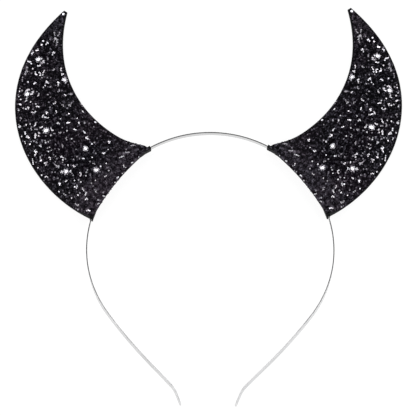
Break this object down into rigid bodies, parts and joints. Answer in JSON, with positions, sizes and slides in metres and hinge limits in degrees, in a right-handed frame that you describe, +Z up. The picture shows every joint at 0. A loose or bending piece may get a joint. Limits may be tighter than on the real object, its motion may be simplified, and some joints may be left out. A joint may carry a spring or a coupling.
{
  "type": "devil horns headband",
  "caption": "Springy steel strip headband with padded, crescent-shaped devil horns in black glitter fabric fixed over its arch.",
  "frame": {"origin": "middle of the bounding box on the plane that the horns' flat backs rest on", "axes": "+X towards the right horn, +Y from the open ends of the band towards the horns' tips, +Z up from the flat backs to the glitter faces"},
  "size_m": [0.1936, 0.2046, 0.0091],
  "materials": {
    "brushed_steel": "bright rolled steel strip",
    "black_glitter": "black glitter fabric with silver sparkles",
    "black_foam": "black foam sheet, matt cut edge",
    "black_felt": "black pressed felt",
    "black_tape": "black woven tape"
  },
  "bodies": {
    "root": {"steel_band": "brushed_steel", "left_glitter_face": "black_glitter", "right_glitter_face": "black_glitter", "left_foam_core": "black_foam", "right_foam_core": "black_foam", "left_felt_back": "black_felt", "right_felt_back": "black_felt", "left_tape_sleeve": "black_tape", "right_tape_sleeve": "black_tape"}
  },
  "joints": []
}
